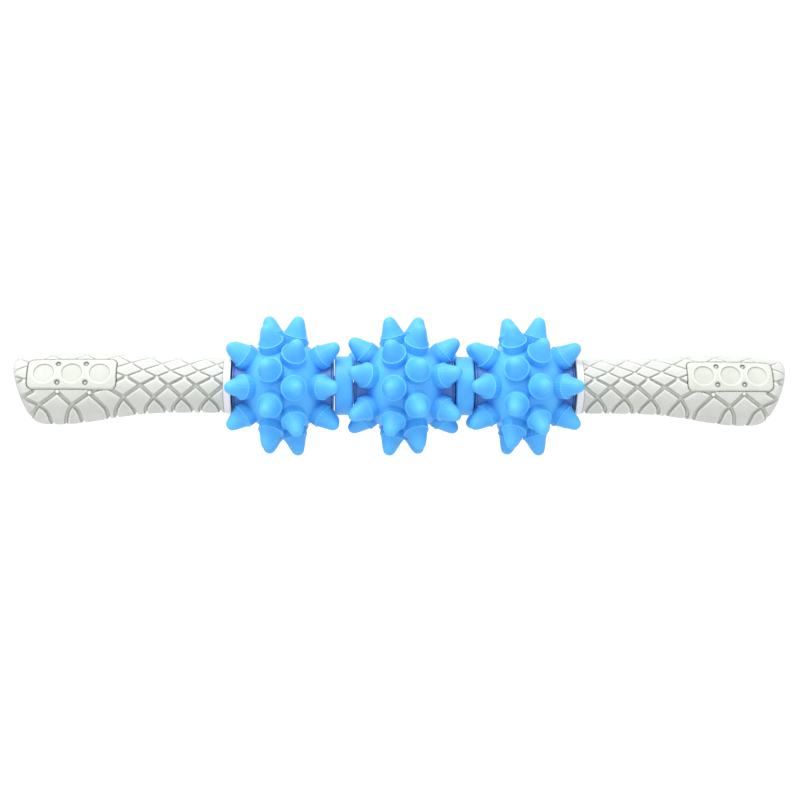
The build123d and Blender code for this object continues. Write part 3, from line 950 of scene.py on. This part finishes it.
# The groove mark is painted shade in the grooves and in the plate's pocket.
groove_shade_mark = np.where(in_pocket, 0.8, depth / groove_depth)
# This mark is painted shade at groove rims, round the pips and in the plate's pocket.
crevice_shade = np.maximum(crevice_shade_share(rim, below) * pads, 0.6 * bell(pip_gap, 1.2, 0.22))
crevice_shade = np.where(in_pocket, 1.0, crevice_shade)
# This mark is a painted highlight on scale rims, strongest below each groove, and on the pips.
painted_highlight = np.maximum(bell(rim, 0.35, 0.3) * (0.2 + 0.8 * below), 1 - smooth(0.75, 1.0, pip_gap))
print("deepest groove", round(float(depth.max()), 2), "mm")

# %% Round the end and close it
corner_weight = 2 * 0.72
round_run = end_round * 1.3


def straight_in(points, target):
    """Unit steps from points towards their targets."""
    inwards = target - points
    return inwards / np.linalg.norm(inwards, axis=1)[:, None]


corner_points = on_side(corner, turns)
middle_z = float(section(np.array([grip_length]))[2][0])
axis_points = corner_points * (1, 0, 0) + (0, 0, middle_z)
onto_cap = corner_points + end_setback * straight_in(corner_points, axis_points)
onto_cap[:, 0] = on_dome(onto_cap[:, 1], onto_cap[:, 2])
last_side = on_side(s_grid[-1], t_grid[-1])
inner_middle = onto_cap + (last_side - corner_points)
rounding, round_groove_shades, round_crevice_shades = [], [], []
for share in np.linspace(0, 1, round_rows + 1)[1:]:
    weights = np.array([(1 - share) ** 2, corner_weight * share * (1 - share), share**2])
    weights /= weights.sum()
    row = weights[0] * last_side + weights[1] * corner_points + weights[2] * onto_cap
    over_rim, over_below, _ = both_sides(side_end + share * round_run, turns)
    sunk = groove_share(over_rim) * (1 - smooth(0.45, 1.0, share))
    rounding.append(row + groove_depth * sunk[:, None] * straight_in(row, inner_middle))
    # The end's rounding carries on the grooves' painted shade.
    round_groove_shades.append(sunk)
    round_crevice_shades.append(crevice_shade_share(over_rim, over_below) * (1 - share))
cap = []
for share in np.linspace(0, 1, cap_rows + 1)[1:-1]:
    row = onto_cap.copy()
    row[:, 1] *= 1 - share
    row[:, 2] += (middle_z - row[:, 2]) * share
    row[:, 0] = on_dome(row[:, 1], row[:, 2])
    cap.append(row)
centre = np.array([[on_dome(0.0, middle_z), 0.0, middle_z]])
print("cap rows", len(cap), "round rows", len(rounding))

# %% The bore that the barrel fills
bore_outline = (
    (0.0, 9.3), (0.2, 9.1), (7.7, 9.1), (7.8, 10.4), (69.2, 10.4), (69.3, 9.1), (76.7, 9.1),
    (79.8, 11.1), (84.1, 11.1), (84.1, 6.0),
)
bore_mouth_radius, bore_depth = bore_outline[0][1], bore_outline[-1][0]
bore = []
around = np.radians(turns)
face = side_points[0]
for share in (0.3, 0.65):
    ring_points = face.copy()
    size = np.hypot(face[:, 1], face[:, 2])
    ring_points[:, 1:] *= ((1 - share) * size + share * bore_mouth_radius)[:, None] / size[:, None]
    bore.append(ring_points)
for place, radius in bore_outline:
    ring_points = [np.full(columns, place), -radius * np.cos(around), -radius * np.sin(around)]
    bore.append(np.stack(ring_points, 1))
bore_end = np.array([[bore_depth, 0.0, 0.0]])


def shell(rings, start_point, end_point):
    """Points and faces of a shell through rings of equal count, with a point closing each end."""
    numbers = np.arange(len(rings) * len(rings[0])).reshape(len(rings), -1)
    faces = []
    for low, high in zip(numbers, numbers[1:]):
        faces += wall_faces(low, high)
    faces += fan_faces(numbers[0], numbers.size) + fan_faces(numbers[-1], numbers.size + 1)
    return np.vstack([*rings, start_point, end_point]), faces


grip_points, grip_faces = shell([*bore[::-1], *side_points, *rounding, *cap], bore_end, centre)
grip_points[:, 0] += grip_start
grip_mark_rows = {
    "groove_shade": [groove_shade_mark, *round_groove_shades],
    "crevice_shade": [crevice_shade, *round_crevice_shades],
    "painted_highlight": [painted_highlight],
}
grip_marks = []
first_side = len(bore) * columns
for mark, rows in grip_mark_rows.items():
    values = np.concatenate([np.ravel(row) for row in rows])
    padded = np.zeros(len(grip_points))
    padded[first_side:first_side + len(values)] = values
    grip_marks.append((mark, padded))
print("grip:", len(grip_points), "points,", len(grip_faces), "faces")

# %% [markdown]
# The grip's rubber is pale, warm and slightly green, and matt. The grooves are painted a touch
# darker and greener than the scales, as painted shade, and a thin crevice under each scale's
# edge is painted darkest, also painted shade. The edges themselves are painted brighter, a painted
# highlight. A fine pebble breaks the light.


# %% Pale rubber
def pale_rubber(name, base_light, base_dark, groove_shade_tone):
    """Matt pale rubber with faint clouds. Three marks of the mesh change it: grooves take their
    own darker tone as painted shade, crevices take dark painted shade, and edges a bright painted
    highlight."""
    highlight_tone = (0.76, 0.77, 0.73, 1.0)
    crevice_shade_tone = (0.085, 0.09, 0.075, 1.0)
    speck_tone = (0.36, 0.37, 0.33, 1.0)
    finish = Finish(name)
    clouds = finish.between(finish.grain(140.0, 4.0, 0.6), 0.35, 0.68)
    base = finish.mix(clouds, base_dark, base_light)
    base = finish.mix(finish.between(finish.mark("groove_shade"), 0.15, 0.9) * 0.8, base, groove_shade_tone)
    base = finish.mix(finish.mark("painted_highlight") * 0.8, base, highlight_tone)
    base = finish.mix(finish.mark("crevice_shade") * 0.75, base, crevice_shade_tone)
    specks = finish.between(finish.grain(2600.0, 1.0), 0.62, 0.74)
    base = finish.mix(specks * 0.10, base, speck_tone)
    pebble = finish.grain(2200.0, 3.0) + 0.6 * finish.grain(700.0, 2.0)
    finish.surface(
        Base_Color=base,
        Roughness=0.62 + 0.12 * clouds,
        Normal=finish.bump(pebble, 0.00007, 0.6),
    )
    return finish.material


grip_rubber = pale_rubber(
    "pale_grip", (0.560, 0.573, 0.543, 1.0), (0.520, 0.533, 0.500, 1.0), (0.52, 0.555, 0.50, 1.0)
)
print("rubber:", grip_rubber.name)

# %% Both grips
for side, flip in (("left", -1), ("right", 1)):
    make_piece(
        f"{side}_scaled_grip", grip_points * (flip, 1, 1), grip_faces, grip_rubber, "stick",
        (f"{side}_grip",), 60.0, grip_marks,
    )

# %% [markdown]
# The thumb plate is a separate pad let into a pocket of the grip. It follows the grip's oval, a
# little proud of it, with a softly rounded rim. Three shallow round dimples seat the thumb, and
# between them sit four small ring marks with a pip in the middle.

# %% The plate's net
plate_proud = 0.4
plate_bottom = -1.6
plate_rim = 0.7
spacing = 0.22
dimple_places = (-13.5, 0.0, 13.5)
dimple_edge = 5.5
ring_mark_places = [(along, across) for along in (-6.75, 6.75) for across in (-4.9, 4.9)]


def stops(length):
    """Places across a length, even in the middle and closer together near both ends."""
    inner = np.linspace(-length / 2 + plate_rim, length / 2 - plate_rim, int(length / spacing))
    edge = np.array([0.0, 0.04, 0.13, 0.28, 0.48]) - length / 2
    return np.concatenate([edge, inner, -edge[::-1]])


def rounded(u, v):
    """A rectangle's net with its corners drawn in to quarter circles."""
    past_u = np.clip((np.abs(u) - (plate_length / 2 - plate_corner)) / plate_corner, 0, 1)
    past_v = np.clip((np.abs(v) - (plate_width / 2 - plate_corner)) / plate_corner, 0, 1)
    pull_u = past_u * (1 - np.sqrt(1 - past_v**2 / 2)) * plate_corner
    pull_v = past_v * (1 - np.sqrt(1 - past_u**2 / 2)) * plate_corner
    return u - np.sign(u) * pull_u, v - np.sign(v) * pull_v


def plate_height(u, v, growth):
    """Height over the tube's axis, straight out through the plate, of the grown grip form."""
    wide, tall, middle = section(plate_middle + u)
    wide, tall = wide + growth, tall + growth
    y0, z0 = v * plate_down[1], v * plate_down[2] - middle
    a = (plate_out[1] / wide) ** 2 + (plate_out[2] / tall) ** 2
    b = 2 * (y0 * plate_out[1] / wide**2 + z0 * plate_out[2] / tall**2)
    c = (y0 / wide) ** 2 + (z0 / tall) ** 2 - 1
    return (-b + np.sqrt(b * b - 4 * a * c)) / (2 * a)


u_grid, v_grid = np.meshgrid(stops(plate_length), stops(plate_width), indexing="ij")
u_grid, v_grid = rounded(u_grid, v_grid)
flat = np.stack([plate_middle + u_grid, v_grid * plate_down[1], v_grid * plate_down[2]], -1)
inside = -plate_distance(flat + 5 * plate_out)
rim_drop = plate_rim - np.sqrt(plate_rim**2 - np.clip(plate_rim - inside, 0, plate_rim) ** 2)
height = plate_height(u_grid, v_grid, plate_proud) - rim_drop
# The plate's marks paint shade in its dimples and ring marks, and highlights on their rims and
# pips.
plate_shade_mark, plate_crevice_shade, plate_highlight = (np.zeros_like(height) for _ in range(3))
for place in dimple_places:
    radius = np.hypot(u_grid - place, v_grid)
    bowl = np.clip(1 - (radius / 4.9) ** 2, 0, 1)
    edge = bell(radius, dimple_edge, 0.3)
    height += 0.12 * edge - 0.70 * (1 - smooth(4.55, 5.25, radius)) - 0.30 * bowl
    upper_side = 0.55 - 0.45 * v_grid / np.maximum(radius, 0.5)
    plate_crevice_shade += 0.55 * bell(radius, 4.85, 0.26) * upper_side
    plate_highlight += 0.9 * edge
    plate_shade_mark += 0.28 * (1 - smooth(4.3, 4.9, radius))
for along, across in ring_mark_places:
    radius = np.hypot(u_grid - along, v_grid - across)
    height -= 1.25 * (1 - smooth(0.95, 1.45, radius)) - 0.8 * (1 - smooth(0.3, 0.8, radius))
    plate_shade_mark += 0.9 * bell(radius, 0.95, 0.38)
    plate_crevice_shade += 0.5 * bell(radius, 1.1, 0.3)
    plate_highlight += bell(radius, 0.0, 0.5)
top = flat + height[..., None] * plate_out
bottom = flat + plate_height(u_grid, v_grid, plate_bottom)[..., None] * plate_out
print("plate net:", top.shape[:2])


# %% Close the plate and set both in place
def slab(top, bottom):
    """Points and faces of a slab between two nets of the same count."""
    rows, cols = top.shape[:2]
    index = np.arange(rows * cols).reshape(rows, cols)
    quads = np.stack([index[:-1, :-1], index[1:, :-1], index[1:, 1:], index[:-1, 1:]], -1)
    quads = quads.reshape(-1, 4)
    rim = np.concatenate([index[0, :-1], index[:-1, -1], index[-1, :0:-1], index[:0:-1, 0]])
    under = rows * cols
    faces = [*quads.tolist(), *(quads[:, ::-1] + under).tolist(), *wall_faces(rim, rim + under)]
    return np.concatenate([top.reshape(-1, 3), bottom.reshape(-1, 3)]), faces


plate_points, plate_faces = slab(top, bottom)
plate_points = plate_points + (grip_start, 0, 0)
plate_fields = {"groove_shade": plate_shade_mark, "crevice_shade": plate_crevice_shade, "painted_highlight": plate_highlight}
plate_marks = []
for mark, values in plate_fields.items():
    plate_marks.append((mark, np.concatenate([values.ravel(), np.zeros(values.size)])))
# The plate's groove tone is a darker painted shade for its dimples and ring marks.
plate_rubber = pale_rubber(
    "pale_plate", (0.570, 0.590, 0.545, 1.0), (0.530, 0.550, 0.50, 1.0), (0.33, 0.365, 0.315, 1.0)
)
for side, flip in (("left", -1), ("right", 1)):
    make_piece(
        f"{side}_dimpled_plate", plate_points * (flip, 1, 1), plate_faces, plate_rubber, "stick",
        (f"{side}_thumb_plate",), 50.0, plate_marks,
    )

# %% [markdown]
# The hard pieces keep the solids' own meshes. The flange beside each grip is milky plastic, the
# roller cores are blue, painted deeper than their skins as painted shade, the bushes are natural
# white, and the tube, plugs, washers and screws are steel with the marks of drawing and turning.
# The collars keep their solids' meshes too, in the blue vinyl.


# %% Hard finishes
def moulded_plastic(name, light, dark, shine):
    """Moulded plastic with a faint flow cloud and a fine spark-eroded texture."""
    finish = Finish(name)
    flow = finish.between(finish.grain(60.0, 3.0), 0.3, 0.7)
    texture = finish.grain(3000.0, 2.0)
    finish.surface(
        Base_Color=finish.mix(flow, dark, light),
        Roughness=shine + 0.08 * texture,
        Normal=finish.bump(texture, 0.00003, 0.4),
    )
    return finish.material


def turned_steel(name, tone, lines):
    """Bright steel with fine lines along one direction and soft stains."""
    finish = Finish(name)
    stretch = finish.node("ShaderNodeMapping", {}, {"Vector": finish.place(), "Scale": lines})
    marks = finish.node("ShaderNodeTexNoise", {}, {"Vector": stretch, "Scale": 1.0, "Detail": 3.0})
    stains = finish.between(finish.grain(120.0, 3.0), 0.35, 0.7)
    stained = tuple(share * light for share, light in zip((0.8, 0.79, 0.77), tone))
    finish.surface(
        Base_Color=finish.mix(stains * 0.4, (*tone, 1.0), (*stained, 1.0)),
        Metallic=1.0,
        Roughness=0.24 + 0.16 * marks,
        Normal=finish.bump(marks, 0.00002, 0.5),
    )
    return finish.material


milky = ((0.73, 0.74, 0.745, 1.0), (0.67, 0.68, 0.69, 1.0))
# The cores' blue is painted deeper than the vinyl, as painted shade.
shaded_core_blue = ((0.056, 0.17, 0.47, 1.0), (0.045, 0.13, 0.40, 1.0))
natural = ((0.74, 0.75, 0.76, 1.0), (0.68, 0.69, 0.70, 1.0))
hard_finishes = {
    "handle_core": moulded_plastic("milky_plastic", *milky, 0.38),
    "roller_core": moulded_plastic("shaded_deep_blue_plastic", *shaded_core_blue, 0.42),
    "roller_bush": moulded_plastic("bush_plastic", *natural, 0.35),
    "collar": collar_vinyl,
    "shaft_tube": turned_steel("drawn_steel", (0.62, 0.63, 0.65), (20.0, 4000.0, 4000.0)),
    "threaded_plug": turned_steel("turned_plug_steel", (0.58, 0.58, 0.60), (4000.0, 60.0, 60.0)),
    "screw_washer": turned_steel("washer_steel", (0.66, 0.66, 0.68), (60.0, 900.0, 900.0)),
    "end_screw": turned_steel("screw_steel", (0.66, 0.66, 0.68), (3000.0, 60.0, 60.0)),
}
for name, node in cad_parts.items():
    for key, finish in hard_finishes.items():
        if key in name:
            for slot in node.material_slots:
                slot.material = finish
            if not node.material_slots:
                node.data.materials.append(finish)
print("hard finishes:", len(hard_finishes))

# %% [markdown]
# A thin lip stands on each end of a roller, round its bush flange, so only a narrow gap stays to
# the collar or to the grip's flange. The form behind that gap is a guess. A lip turns with its
# roller.

# %% Lips beside the bushes
lip_inner_radius = 10.7
lip_outer_radius = 13.1
lip_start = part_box("right_roller_core_right")[1].x / MM - roller_pitch
lip_room = roller_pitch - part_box("right_collar")[1].x / MM - lip_start
lip_end = lip_start + 0.6 * lip_room
lip_outline = (
    (lip_start, lip_inner_radius), (lip_end, lip_inner_radius), (lip_end, lip_outer_radius - 0.3),
    (lip_end - 0.2, lip_outer_radius - 0.05), (lip_start, lip_outer_radius),
)


def turned_ring(outline):
    """Points and faces of a closed ring about the tube, from its outline of (place, radius)."""
    points = np.vstack([round_points(place, radius) for place, radius in outline])
    numbers = np.arange(len(points)).reshape(-1, mouth_sides)
    faces = []
    for low, high in zip(numbers, np.roll(numbers, -1, axis=0)):
        faces += wall_faces(low, high)
    return points, faces


lip_points, lip_faces = turned_ring(lip_outline)
for side, place in roller_places.items():
    for end, flip in (("left", -1), ("right", 1)):
        # The lips wear the cores' blue, painted deeper as painted shade.
        make_piece(
            f"{side}_roller_{end}_lip", lip_points * (flip, 1, 1) + (place, 0, 0), lip_faces,
            hard_finishes["roller_core"], f"{side}_roller",
        )
print("lip reaches from", round(lip_start, 2), "to", round(lip_end, 2), "mm")
